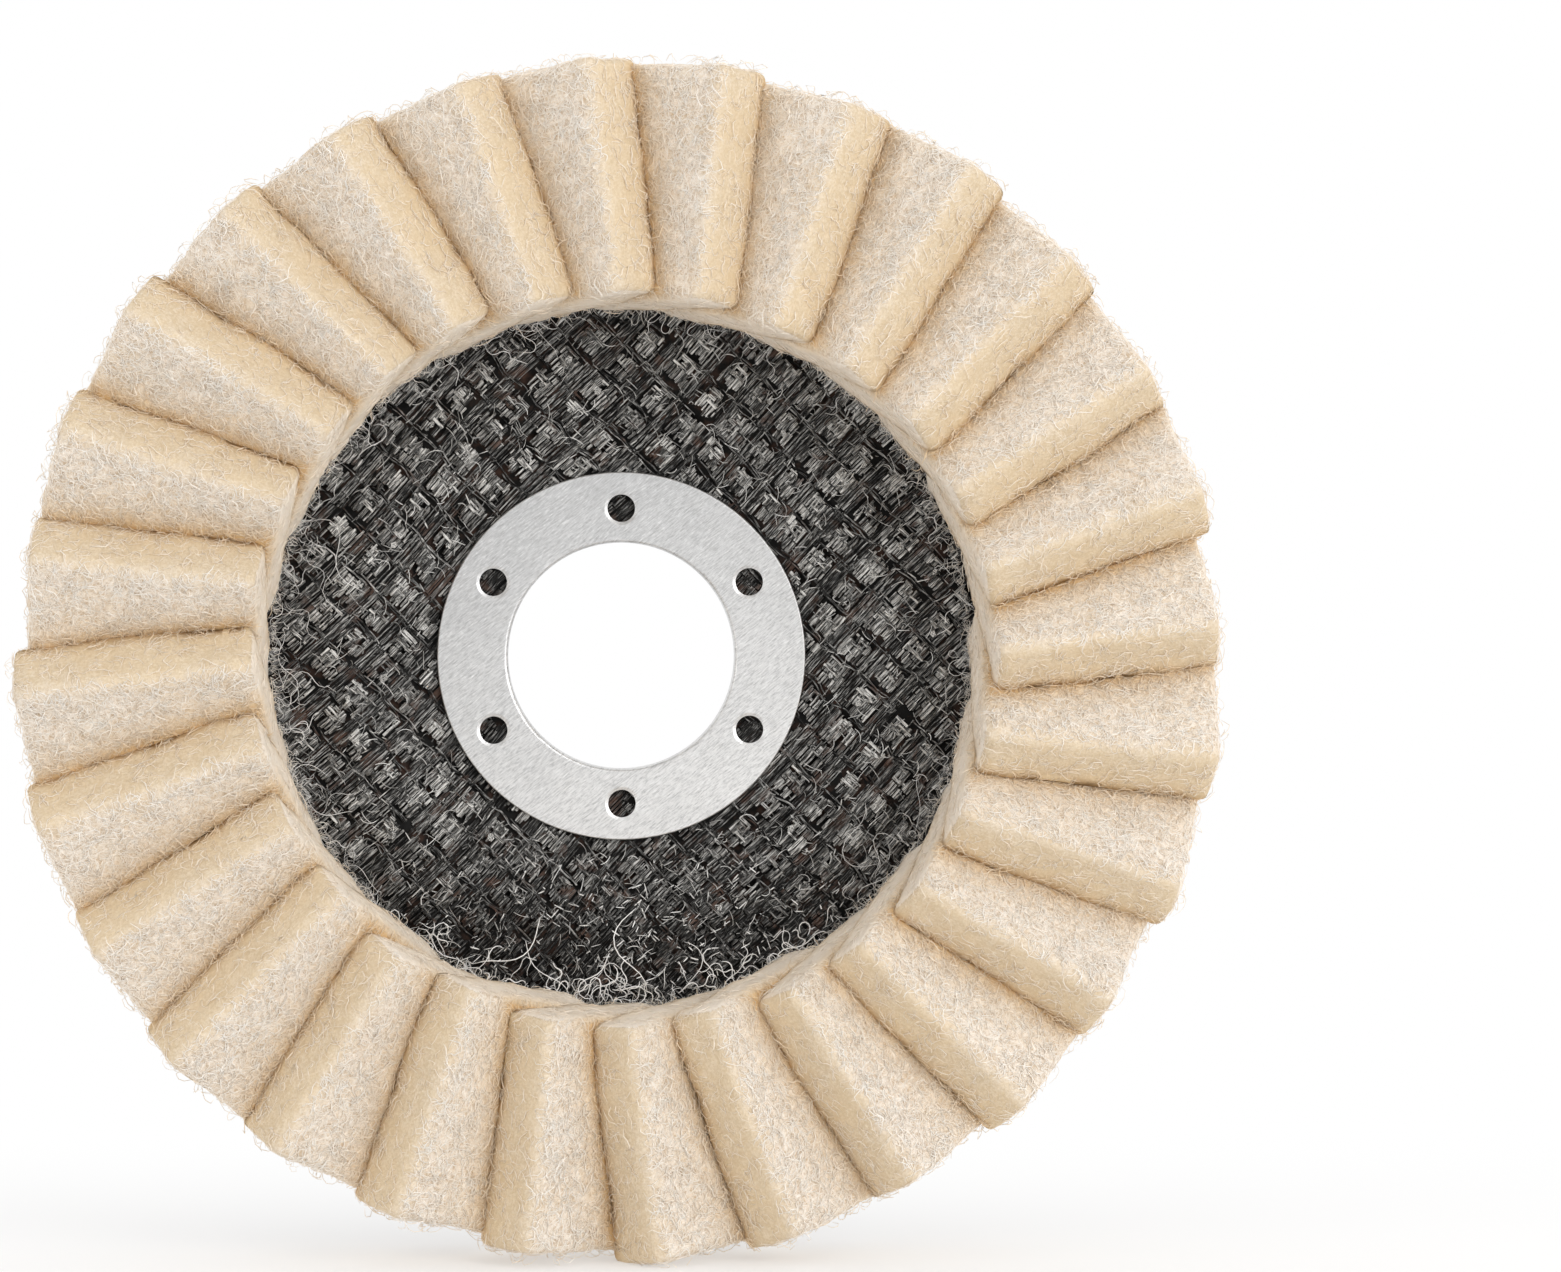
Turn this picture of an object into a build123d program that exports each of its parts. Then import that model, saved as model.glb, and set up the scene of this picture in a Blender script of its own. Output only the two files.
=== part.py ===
from build123d import *
import math
import os

# Felt flap polishing wheel for an angle grinder, 115 mm across, with a 22.23 mm bore.
# Millimetres, +Z up. The wheel stands on its rim: its spin axis is Y, through the origin, which is the middle
# of the bore. The felt face looks towards -Y and the side that meets the grinder is at +Y. Angles are counted
# clockwise from +Z, as seen from the felt side.
CORNER_TOLERANCE = 0.01

# Steel hub ring: a flange on the felt side, a collar through the plate and a rolled lip behind it.
BORE_RADIUS = 22.23 / 2
HUB_SHEET = 0.8
FLANGE_RADIUS = 18.0
REAR_LIP_RADIUS = 12.9
COLLAR_ROUNDING = 0.35
EDGE_ROUNDING = 0.15
KEY_HOLES = 6
KEY_HOLE_RADIUS = 1.35
KEY_HOLE_CIRCLE = 14.45
KEY_HOLE_CHAMFER = 0.3
KEY_HOLE_CHAMFER_DEPTH = 0.12
COLLAR_CLEARANCE = 0.1

# Pressed backing plate: four bonded plies with a hub that is set back from the felt side.
PLIES = {"front_cloth": 0.4, "core_ply_front": 0.8, "core_ply_rear": 0.8, "rear_cloth": 0.4}
PLATE_RADIUS = 50.0
HUB_FLAT_RADIUS = 18.9
CONE_RADIUS = 26.5
HUB_SETBACK = 4.0
BEND_RADIUS = 3.0

# Bed of adhesive that holds the felt.
ADHESIVE_THICKNESS = 0.6
ADHESIVE_INNER_RADIUS = 34.6
ADHESIVE_OUTER_RADIUS = 49.4

# Felt flaps: thick straight strips that lean clockwise, each one resting on the next.
FLAP_COUNT = 28
FLAP_WIDTH = 19.0
FLAP_FILL = 0.96
FLAP_AXIS_ANGLE = -5.8
FLAP_CORNER_ACROSS = 6.86
INNER_SLOPE = 45.0
OUTER_SLOPE = 34.0
INNER_END = 33.3
INNER_END_DRAFT = 0.08
OUTER_END = 56.4
OUTER_END_SKEW = 0.07

PLATE_THICKNESS = sum(PLIES.values())
HUB_FRONT = -PLATE_THICKNESS / 2
HUB_REAR = PLATE_THICKNESS / 2
PLATE_FRONT = HUB_FRONT - HUB_SETBACK
COLLAR_RADIUS = BORE_RADIUS + HUB_SHEET


def hub_ring():
    """Eyelet of sheet steel, turned from its half section, with six blind key holes in its flange."""
    front = HUB_FRONT - HUB_SHEET
    rear = HUB_REAR + HUB_SHEET
    outline = Polyline(
        (BORE_RADIUS, front),
        (FLANGE_RADIUS, front),
        (FLANGE_RADIUS, HUB_FRONT),
        (COLLAR_RADIUS, HUB_FRONT),
        (COLLAR_RADIUS, HUB_REAR),
        (REAR_LIP_RADIUS, HUB_REAR),
        (REAR_LIP_RADIUS, rear),
        (BORE_RADIUS, rear),
        close=True,
    )
    section = make_face(outline)
    bore_corners = section.vertices().filter_by(lambda corner: corner.X < BORE_RADIUS + CORNER_TOLERANCE)
    section = fillet(bore_corners, COLLAR_ROUNDING)
    rims = section.vertices().filter_by(lambda corner: corner.X > REAR_LIP_RADIUS - CORNER_TOLERANCE)
    section = fillet(rims, EDGE_ROUNDING)
    ring = revolve(section, Axis.Y, 360)
    chamfer = Cone(KEY_HOLE_RADIUS, KEY_HOLE_RADIUS + KEY_HOLE_CHAMFER, KEY_HOLE_CHAMFER_DEPTH)
    drill = Rot(X=90) * Cylinder(KEY_HOLE_RADIUS, 4 * HUB_SHEET)
    drill += Pos(0, KEY_HOLE_CHAMFER_DEPTH / 2, 0) * Rot(X=90) * chamfer
    for number in range(KEY_HOLES):
        turn = Rot(Y=number * 360 / KEY_HOLES)
        ring -= turn * Pos(0, front, KEY_HOLE_CIRCLE) * drill
    return ring


def plate_ply(front, thickness):
    """One pressed ply: hub flat, cone and outer flat, from the collar to the rim of the plate."""
    curve = FilletPolyline(
        (COLLAR_RADIUS + COLLAR_CLEARANCE, front),
        (HUB_FLAT_RADIUS, front),
        (CONE_RADIUS, front - HUB_SETBACK),
        (PLATE_RADIUS, front - HUB_SETBACK),
        radius=BEND_RADIUS,
    )
    back = Pos(0, thickness, 0) * curve
    ends = [Line(curve @ 0, back @ 0), Line(curve @ 1, back @ 1)]
    section = make_face([*curve.edges(), *back.edges(), *ends])
    return revolve(section, Axis.Y, 360)


def adhesive_ring():
    """Flat ring of cured adhesive on the felt side of the plate."""
    disc = Cylinder(ADHESIVE_OUTER_RADIUS, ADHESIVE_THICKNESS)
    ring = disc - Cylinder(ADHESIVE_INNER_RADIUS, ADHESIVE_THICKNESS)
    return Pos(0, PLATE_FRONT - ADHESIVE_THICKNESS / 2, 0) * Rot(X=90) * ring


def flap_spacing(outward):
    """Distance across a flap, this far out, from its crease to the crease of the flap before it."""
    crease_angle = math.atan2(FLAP_CORNER_ACROSS, outward)
    crease_radius = math.hypot(FLAP_CORNER_ACROSS, outward)
    return FLAP_CORNER_ACROSS - crease_radius * math.sin(crease_angle - math.tau / FLAP_COUNT)


def flap_section(slope, outward):
    """Corners of a flap's section as (across, height over the plate), with its lowest corner pressed flat."""
    slope = math.radians(slope)
    thickness = FLAP_FILL * flap_spacing(outward) * math.sin(slope)
    along = Vector(math.cos(slope), math.sin(slope))
    normal = Vector(-math.sin(slope), math.cos(slope))
    crease = Vector(FLAP_CORNER_ACROSS, FLAP_WIDTH * math.sin(slope))
    root = crease - along * FLAP_WIDTH
    return [
        root + along * (ADHESIVE_THICKNESS / math.sin(slope)),
        crease,
        crease + normal * thickness,
        root + normal * thickness,
        root + normal * (ADHESIVE_THICKNESS / math.cos(slope)),
    ]


def flap_point(outward, across, height, angle):
    """A point of the flap whose length lies at this angle."""
    angle = math.radians(angle)
    x = outward * math.sin(angle) + across * math.cos(angle)
    z = outward * math.cos(angle) - across * math.sin(angle)
    return Vector(x, PLATE_FRONT - height, z)


def felt_flap(angle):
    """One felt strip, ruled between its inner and its outer end."""
    inner = [
        flap_point(INNER_END + INNER_END_DRAFT * corner.Y, corner.X, corner.Y, angle)
        for corner in flap_section(INNER_SLOPE, INNER_END)
    ]
    outer = [
        flap_point(OUTER_END + OUTER_END_SKEW * corner.X, corner.X, corner.Y, angle)
        for corner in flap_section(OUTER_SLOPE, OUTER_END)
    ]
    ends = [Wire.make_polygon(points, close=True) for points in (inner, outer)]
    return Solid.make_loft(ends, ruled=True)


def main():
    parts = {"hub_ring": hub_ring(), "adhesive_ring": adhesive_ring()}
    front = HUB_FRONT
    for name, thickness in PLIES.items():
        parts[name] = plate_ply(front, thickness)
        front += thickness
    for number in range(FLAP_COUNT):
        angle = FLAP_AXIS_ANGLE + number * 360 / FLAP_COUNT
        parts[f"felt_flap_{number + 1:02d}"] = felt_flap(angle)
    os.makedirs("parts", exist_ok=True)
    for name, part in parts.items():
        export_step(part, f"parts/{name}.step")


main()
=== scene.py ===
"""Looks of the felt polishing wheel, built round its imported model.

Lengths are millimetres until a mesh is made. Angles are counted clockwise from +Z, seen from the felt side.
"""

import math

import bpy
import numpy as np
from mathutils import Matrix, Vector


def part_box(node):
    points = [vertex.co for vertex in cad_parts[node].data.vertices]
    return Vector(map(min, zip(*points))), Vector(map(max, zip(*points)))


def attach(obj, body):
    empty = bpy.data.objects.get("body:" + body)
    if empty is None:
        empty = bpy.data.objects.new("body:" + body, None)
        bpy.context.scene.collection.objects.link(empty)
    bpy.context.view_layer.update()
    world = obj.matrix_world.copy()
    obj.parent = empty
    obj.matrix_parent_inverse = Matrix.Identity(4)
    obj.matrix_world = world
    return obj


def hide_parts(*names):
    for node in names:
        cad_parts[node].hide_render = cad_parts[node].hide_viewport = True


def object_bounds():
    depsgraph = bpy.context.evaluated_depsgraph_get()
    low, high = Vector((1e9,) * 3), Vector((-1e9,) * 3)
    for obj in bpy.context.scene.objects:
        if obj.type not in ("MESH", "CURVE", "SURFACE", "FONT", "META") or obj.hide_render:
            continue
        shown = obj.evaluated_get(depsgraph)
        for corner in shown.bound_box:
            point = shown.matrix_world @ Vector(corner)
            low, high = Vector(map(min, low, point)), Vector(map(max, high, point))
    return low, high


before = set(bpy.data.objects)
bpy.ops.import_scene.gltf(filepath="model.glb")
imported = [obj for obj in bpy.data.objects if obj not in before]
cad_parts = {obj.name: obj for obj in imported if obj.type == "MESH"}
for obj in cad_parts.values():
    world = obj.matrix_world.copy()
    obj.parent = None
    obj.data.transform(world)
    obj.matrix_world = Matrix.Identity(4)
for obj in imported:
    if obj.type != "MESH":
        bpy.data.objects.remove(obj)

CAD_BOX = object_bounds()
MM = 0.001
TAU = math.tau
HALF_ROOT = math.sqrt(0.5)

# Felt flaps, as they are in the CAD model.
FLAP_COUNT = 28
FLAP_WIDTH = 19.0
FLAP_AXIS_ANGLE = -5.8
FLAP_CORNER_ACROSS = 6.86
INNER_SLOPE = 45.0
OUTER_SLOPE = 34.0
INNER_END = 33.3
INNER_END_DRAFT = 0.08
OUTER_END = 56.4
OUTER_END_SKEW = 0.07

# What the felt adds to the CAD's flaps: a fuller section that presses on the next flap, soft edges, inner
# ends that reach further in near 12 and 6 o'clock (REACH_IN), and fibres, denser near creases and browner
# there with painted shade.
FLAP_FILL = 0.99
FELT_ROUNDING = 1.1
FELT_CREASE_ROUNDING = 0.1
FELT_STEP = 0.5
PRESSED = 1.045
REACH_IN = 0.6
LOWEST_ROOT = 0.45
CUT_FADE = 3.4
END_GAP = 0.6
LYING_FIBRES = 1750
LOOSE_FIBRES = 240
FIBRE_TAPER = np.array([0.5, 1.0, 1.0, 0.9, 0.4])
FUZZ_REACH = 0.55
CREASE_FADE = 1.5

# How much one flap differs from the next, as standard deviations: its slope in degrees, the rest in mm.
SLOPE_SPREAD = 0.6
WIDTH_SPREAD = 0.3
INNER_END_SPREAD = 0.22
OUTER_END_SPREAD = 0.3
SAG_SPREAD = 0.28

# Front cloth: raised knots in a skew grid, with sunken windows and thin tapes between them. It is darker
# and more broken at its bottom.
KNOT_PITCH_UP = 3.43
KNOT_PITCH_DOWN = 4.0
KNOT_SHIFT = (2.97, -0.2)
KNOT_SIZE = (2.35, 2.6)
KNOT_HEIGHT = 0.8
KNOT_REACH = (12.4, 36.3)
STRIP_REACH = (12.3, 37.0)
BOTTOM_STARTS = 15.0
BOTTOM_FADE = 12.0

# Rear cloth: a fine plain weave.
REAR_PITCH = 1.15
REAR_YARN = (1.02, 0.30)
REAR_CRIMP = 0.16
REAR_REACH = 12.3
LIP_EDGE = 13.6

# The plies' hole, the dish they are flat outside of, how far a cloth's resin lies under its yarns, the
# adhesive's inner edge, and the sides of what is turned.
COLLAR_HOLE = 12.05
DISH_RADIUS = 28
CLOTH_SKIN = 0.12
ADHESIVE_INNER = 34.6
SEGMENTS = 720
CORE_SEGMENTS = 900


def from_axis(points):
    """Distances from the spin axis."""
    return np.hypot(points[..., 0], points[..., 2])


def on_wheel(radius, y, around):
    """Points at a radius, a place along the spin axis and an angle."""
    return np.stack([radius * np.sin(around), y, radius * np.cos(around)], axis=-1)


def ply_profile(name, side):
    """Radii and Y of one face of a pressed ply: side -1 is its front face, +1 the one behind."""
    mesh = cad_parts[name].data
    points = np.empty(len(mesh.vertices) * 3)
    mesh.vertices.foreach_get("co", points)
    points = points.reshape(-1, 3) / MM
    radii = np.round(from_axis(points), 2)
    steps = np.unique(radii)
    faces = [side * (side * points[radii == radius, 1]).max() for radius in steps]
    return steps, np.array(faces)


FELT_FRONT = CAD_BOX[0].y / MM
PLATE_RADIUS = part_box("front_cloth")[1].x / MM
PLATE_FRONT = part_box("front_cloth")[0].y / MM
ADHESIVE_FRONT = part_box("adhesive_ring")[0].y / MM
FLANGE_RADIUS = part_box("hub_ring")[1].x / MM
FRONT_PROFILE = ply_profile("front_cloth", -1)
REAR_PROFILE = ply_profile("rear_cloth", 1)


# ---- meshes


def show(name, data):
    """A new object in the scene."""
    thing = bpy.data.objects.new(name, data)
    bpy.context.scene.collection.objects.link(thing)
    return thing


def add_piece(name, points, polygons, material, slot, smooth=True):
    """A mesh piece from points in millimetres and arrays of polygons, which rides on the wheel's one body."""
    mesh = bpy.data.meshes.new(name)
    corners = np.concatenate([group.ravel() for group in polygons]).astype(np.int32)
    sizes = np.concatenate([np.full(len(group), group.shape[1]) for group in polygons]).astype(np.int32)
    mesh.vertices.add(len(points))
    mesh.vertices.foreach_set("co", (points * MM).astype(np.float32).ravel())
    mesh.loops.add(len(corners))
    mesh.loops.foreach_set("vertex_index", corners)
    mesh.polygons.add(len(sizes))
    mesh.polygons.foreach_set("loop_start", (np.cumsum(sizes) - sizes).astype(np.int32))
    mesh.polygons.foreach_set("use_smooth", np.full(len(sizes), smooth))
    mesh.update(calc_edges=True)
    mesh.materials.append(material)
    piece = show(name, mesh)
    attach(piece, "root")
    return piece


def add_values(piece, name, values):
    """A number or a vector at each point of a piece, for its material to read."""
    kind, key = ("FLOAT", "value") if values.ndim == 1 else ("FLOAT_VECTOR", "vector")
    attribute = piece.data.attributes.new(name, kind, "POINT")
    attribute.data.foreach_set(key, values.astype(np.float32).ravel())


def unit(vectors):
    return vectors / np.maximum(np.linalg.norm(vectors, axis=-1, keepdims=True), 1e-9)


def polygon_facts(points, quads):
    """Centres, unit normals and areas of quads."""
    a, b, c, d = points[quads.T]
    cross = np.cross(c - a, d - b)
    return (a + b + c + d) / 4, unit(cross), np.linalg.norm(cross, axis=1) / 2


def point_normals(points, quads):
    _, directions, areas = polygon_facts(points, quads)
    weighted = directions * areas[:, None]
    normals = np.zeros_like(points)
    for corner in range(4):
        np.add.at(normals, quads[:, corner], weighted)
    return unit(normals)


def waves(points, size, seed, count=18):
    """Smooth random relief about -1 to 1, with bumps about this size."""
    rng = np.random.default_rng(seed)
    directions = unit(rng.normal(size=(count, 3)))
    lengths = size * rng.uniform(0.7, 1.6, count)
    phases = rng.uniform(0, TAU, count)
    total = np.sin(points @ (directions / lengths[:, None]).T * TAU + phases)
    return total.sum(axis=1) / math.sqrt(count)


def side_turns(sides):
    """Angles of the corners of a tube's section."""
    return (np.arange(sides) + 0.5) * TAU / sides


def arch(along, power):
    """Rises from near 0 at one end to 1 in the middle, and falls again."""
    return np.sin(math.pi * (0.08 + 0.84 * along)) ** power


def tubes(paths, radii, sides, flatness=1.0, across=None):
    """Closed tubes along paths (tube, point, xyz): their points and polygons.

    flatness is the thickness of the section over its width, and across is the direction of the width.
    """
    count, steps = paths.shape[:2]
    tangents = unit(np.gradient(paths, axis=1))
    if across is None:
        spare = np.where(np.abs(tangents[:, :1, 2:]) < 0.9, [0.0, 0.0, 1.0], [1.0, 0.0, 0.0])
        across = np.cross(tangents[:, 0], spare[:, 0])
    widths = np.empty_like(paths)
    for step in range(steps):
        along = tangents[:, step]
        across = unit(across - (across * along).sum(1, keepdims=True) * along)
        widths[:, step] = across
    heights = np.cross(tangents, widths)
    turns = side_turns(sides)
    ring = np.cos(turns)[:, None] * widths[:, :, None]
    ring = ring + flatness * np.sin(turns)[:, None] * heights[:, :, None]
    points = (paths[:, :, None] + radii[:, :, None, None] * ring).reshape(-1, 3)
    index = np.arange(count * steps * sides).reshape(count, steps, sides)
    after = np.roll(index, -1, axis=2)
    walls = np.stack([index[:, :-1], after[:, :-1], after[:, 1:], index[:, 1:]], axis=-1).reshape(-1, 4)
    caps = np.concatenate([index[:, 0, ::-1], index[:, -1]])
    return points, [walls, caps]


def turned(name, section, segments, material, slot, roughness=None):
    """A piece turned about the spin axis from a closed section of (radius, y) points."""
    angles = np.arange(segments)[:, None] * TAU / segments
    radius, y, around = np.broadcast_arrays(*np.array(section).T, angles)
    if roughness is not None:
        radius, y = roughness(radius, y, around)
    points = on_wheel(radius, y, around).reshape(-1, 3)
    index = np.arange(segments * len(section)).reshape(segments, len(section))
    ahead, after = np.roll(index, -1, axis=0), np.roll(index, -1, axis=1)
    both = np.roll(ahead, -1, axis=1)
    quads = np.stack([index, ahead, both, after], axis=-1).reshape(-1, 4)
    return add_piece(name, points, [outward(points, quads)], material, slot)


def outward(points, quads):
    """The quads, turned round if they face inwards."""
    centres, normals, areas = polygon_facts(points, quads)
    volume = ((centres * normals).sum(axis=1) * areas).sum()
    return quads if volume > 0 else quads[:, ::-1]


# ---- materials


class Nodes:
    """A short way to build the node tree of a material, or of a world."""

    def __init__(self, name, world=False):
        self.owner = (bpy.data.worlds if world else bpy.data.materials).new(name)
        self.owner.use_nodes = True
        self.tree = self.owner.node_tree
        self.shader = self.tree.nodes["Background" if world else "Principled BSDF"]

    def feed(self, socket, value):
        """Links a socket, or sets it; a colour is three numbers."""
        if isinstance(value, bpy.types.NodeSocket):
            self.tree.links.new(value, socket)
        else:
            socket.default_value = (*value, 1.0) if socket.type == "RGBA" else value

    def add(self, kind, values=None, **settings):
        node = self.tree.nodes.new(kind)
        for key, value in settings.items():
            setattr(node, key, value)
        for socket, value in (values or {}).items():
            self.feed(node.inputs[socket], value)
        return node

    def math(self, operation, a, b=0.0, clamp=False):
        return self.add("ShaderNodeMath", {0: a, 1: b}, operation=operation, use_clamp=clamp).outputs[0]

    def plus(self, a, b):
        return self.math("ADD", a, b)

    def times(self, a, b):
        return self.math("MULTIPLY", a, b)

    def mix(self, factor, a, b):
        return self.add("ShaderNodeMix", {"Factor": factor, 6: a, 7: b}, data_type="RGBA").outputs[2]

    def noise(self, vector, scale, detail=3.0, roughness=0.5, distortion=0.0):
        values = {"Vector": vector, "Scale": scale, "Detail": detail, "Roughness": roughness,
                  "Distortion": distortion}
        return self.add("ShaderNodeTexNoise", values).outputs["Fac"]

    def ramp(self, value, low, high):
        """value from low to high, spread over 0 to 1."""
        values = {"Value": value, "From Min": low, "From Max": high}
        return self.add("ShaderNodeMapRange", values).outputs["Result"]

    def place(self, vector, scale=(1, 1, 1), rotation=(0, 0, 0)):
        """The vector turned by a rotation, then scaled along each axis."""
        values = {"Vector": vector, "Scale": tuple(1 / size for size in scale), "Rotation": rotation}
        return self.add("ShaderNodeMapping", values, vector_type="TEXTURE").outputs[0]

    def object_mm(self):
        """Position in millimetres."""
        position = self.add("ShaderNodeTexCoord").outputs["Object"]
        return self.place(position, scale=(1 / MM,) * 3)

    def attribute(self, name, output):
        return self.add("ShaderNodeAttribute", attribute_name=name).outputs[output]

    def bump(self, height, strength, distance):
        node = self.add("ShaderNodeBump", {"Height": height, "Strength": strength, "Distance": distance * MM})
        self.tree.links.new(node.outputs["Normal"], self.shader.inputs["Normal"])

    def surface(self, color, roughness, specular=0.5, **sockets):
        """Feeds the shader and gives the finished material."""
        values = {"Base Color": color, "Roughness": roughness, "Specular IOR Level": specular}
        for key, value in (values | sockets).items():
            self.feed(self.shader.inputs[key], value)
        return self.owner


def felt_material():
    """Pressed wool: matted faces, finer stripes on cut edges, ends painted paler (cut below 0) to make up for
    the little light they get, and painted brown shade along the creases.
    """
    nodes = Nodes("felt")
    place = nodes.attribute("felt_place", "Vector")
    cut = nodes.attribute("felt_cut", "Fac")
    # Painted light: the ends (cut below 0) are made paler to make up for the little light that reaches them.
    painted_end_light = nodes.times(nodes.ramp(cut, -0.1, -0.9), 0.75)
    gap = nodes.math("MAXIMUM", nodes.attribute("felt_gap", "Fac"), 0.0)
    ragged = nodes.noise(place, 0.9)
    cut = nodes.ramp(nodes.plus(cut, nodes.times(ragged, 0.9)), 0.4, 1.25)
    strands = None
    for number in range(5):
        turn = nodes.place(place, scale=(0.5, 4.0, 3.0), rotation=(0, 0, number * TAU / 10 + 0.3))
        layer = nodes.ramp(nodes.noise(turn, 1.5, detail=1.0, distortion=1.1), 0.56, 0.72)
        strands = layer if strands is None else nodes.math("MAXIMUM", strands, layer)
    grain = nodes.noise(nodes.place(place, scale=(0.16, 0.25, 1.8)), 3.2, detail=4.0, roughness=0.7)
    speck = nodes.noise(place, 4.5, roughness=0.7, detail=2.0)
    pores = nodes.ramp(nodes.noise(place, 2.2, roughness=0.7), 0.36, 0.6)
    cloud = nodes.ramp(nodes.noise(place, 0.16, detail=2.0), 0.3, 0.7)
    face = nodes.mix(pores, (0.50, 0.375, 0.26), (0.87, 0.77, 0.665))
    face = nodes.mix(nodes.times(strands, 0.85), face, (1.0, 0.955, 0.89))
    edge = nodes.mix(nodes.ramp(grain, 0.3, 0.7), (0.73, 0.60, 0.44), (0.89, 0.785, 0.635))
    edge = nodes.mix(nodes.ramp(speck, 0.62, 0.4), edge, (0.68, 0.545, 0.37))
    color = nodes.mix(cut, face, edge)
    blush = nodes.times(cloud, nodes.plus(0.18, nodes.times(cut, 0.2)))
    color = nodes.mix(blush, color, (0.80, 0.62, 0.39))
    # Painted light on the flaps' ends.
    color = nodes.mix(painted_end_light, color, (1.0, 0.90, 0.775))
    # Painted shade: brown along the creases, a wide soft band and a narrower darker line, fading with
    # felt_gap.
    near = nodes.times(gap, nodes.plus(0.35, ragged))
    crease_shade_wide = nodes.math("POWER", math.e, nodes.times(near, -0.7))
    crease_shade_line = nodes.math("POWER", math.e, nodes.times(near, -3.2))
    on_face = nodes.math("SUBTRACT", 0.78, nodes.times(cut, 0.2))
    color = nodes.mix(nodes.times(crease_shade_wide, on_face), color, (0.73, 0.52, 0.27))
    color = nodes.mix(nodes.times(crease_shade_line, 0.8), color, (0.75, 0.49, 0.23))
    height = nodes.plus(nodes.times(strands, 0.8), nodes.times(speck, 0.6))
    nodes.bump(height, 0.55, 0.14)
    return nodes.surface(color, 0.95, 0.1, **{"Sheen Weight": 0.05, "Sheen Roughness": 0.6})


def fuzz_material():
    """Loose wool fibres: painted brown shade on those near creases, and a light tan on those on cut faces."""
    nodes = Nodes("wool_fibre")
    tone = nodes.noise(nodes.object_mm(), 0.9, detail=2.0)
    color = nodes.mix(nodes.ramp(tone, 0.3, 0.7), (0.97, 0.89, 0.79), (1.0, 0.965, 0.91))
    # Painted shade near creases, and the tan of cut faces, from the fibres' attribute.
    color = nodes.mix(nodes.attribute("crease_shade_and_tan", "Fac"), color, (0.82, 0.58, 0.30))
    return nodes.surface(color, 0.75, 0.15)


def stray_material():
    """Bleached loose fibres that lie on the black cloth."""
    nodes = Nodes("stray_fibre")
    tone = nodes.noise(nodes.object_mm(), 0.5, detail=2.0)
    color = nodes.mix(nodes.ramp(tone, 0.35, 0.65), (0.88, 0.86, 0.83), (1.0, 0.99, 0.98))
    return nodes.surface(color, 0.5)


def front_weave_material():
    """Resin-coated black split fibres with a few brown threads, painted highlights along the grain, and
    painted glints where the tone is above 1.
    """
    nodes = Nodes("front_weave")
    place = nodes.object_mm()
    grain = nodes.attribute("grain", "Vector")
    tone = nodes.attribute("tone", "Fac")
    lines = nodes.noise(nodes.place(grain, scale=(0.8, 8.0, 8.0)), 1.3, roughness=0.65)
    fine = nodes.noise(place, 4.5, roughness=0.65)
    color = nodes.mix(nodes.math("POWER", tone, 1.5), (0.010, 0.0095, 0.009), (0.55, 0.54, 0.515))
    color = nodes.mix(nodes.ramp(lines, 0.50, 0.42), color, (0.006, 0.0055, 0.005))
    # Painted highlight: bright streaks along the grain.
    painted_highlight = nodes.times(nodes.ramp(lines, 0.53, 0.60), nodes.plus(0.12, tone))
    color = nodes.mix(nodes.math("MINIMUM", painted_highlight, 0.9), color, (0.84, 0.83, 0.80))
    # Painted glint: tones above 1 turn near white.
    painted_glint = nodes.math("SUBTRACT", tone, 1.0, clamp=True)
    color = nodes.mix(painted_glint, color, (0.97, 0.96, 0.94))
    brown = nodes.ramp(nodes.noise(place, 0.5, detail=2.0), 0.56, 0.70)
    brown = nodes.times(nodes.times(brown, nodes.ramp(tone, 0.7, 0.2)), 0.7)
    color = nodes.mix(brown, color, (0.13, 0.075, 0.055))
    roughness = nodes.plus(0.22, nodes.times(fine, 0.3))
    height = nodes.plus(nodes.times(lines, 0.8), nodes.times(fine, 0.6))
    nodes.bump(height, 0.9, 0.11)
    return nodes.surface(color, roughness, 0.12)


def resin_material():
    """Dark resin under the front cloth's fibres."""
    nodes = Nodes("resin")
    place = nodes.object_mm()
    spots = nodes.noise(place, 0.7)
    color = nodes.mix(nodes.ramp(spots, 0.5, 0.72), (0.006, 0.0055, 0.005), (0.05, 0.026, 0.018))
    nodes.bump(nodes.noise(place, 2.5), 0.6, 0.1)
    return nodes.surface(color, 0.6, 0.12)


def rear_weave_material():
    """Fine black cloth with a low sheen."""
    nodes = Nodes("rear_weave")
    place = nodes.object_mm()
    tone = nodes.attribute("tone", "Fac")
    fine = nodes.noise(place, 6.0, roughness=0.6)
    patch = nodes.ramp(nodes.noise(place, 0.12), 0.35, 0.7)
    color = nodes.mix(tone, (0.040, 0.040, 0.040), (0.095, 0.094, 0.092))
    color = nodes.mix(nodes.times(patch, 0.3), color, (0.125, 0.124, 0.121))
    nodes.bump(fine, 0.45, 0.04)
    return nodes.surface(color, nodes.plus(0.42, nodes.times(fine, 0.25)))


def fibre_core_material():
    """Brown coarse fibre in resin, with black flecks."""
    nodes = Nodes("fibre_core")
    place = nodes.object_mm()
    streaks = nodes.noise(nodes.place(place, scale=(0.6, 2.6, 0.6)), 1.7, detail=4.0, roughness=0.65)
    flecks = nodes.ramp(nodes.noise(place, 0.85), 0.56, 0.66)
    color = nodes.mix(nodes.ramp(streaks, 0.35, 0.65), (0.16, 0.085, 0.048), (0.34, 0.215, 0.135))
    color = nodes.mix(flecks, color, (0.022, 0.018, 0.015))
    nodes.bump(streaks, 0.8, 0.2)
    return nodes.surface(color, 0.75)


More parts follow.
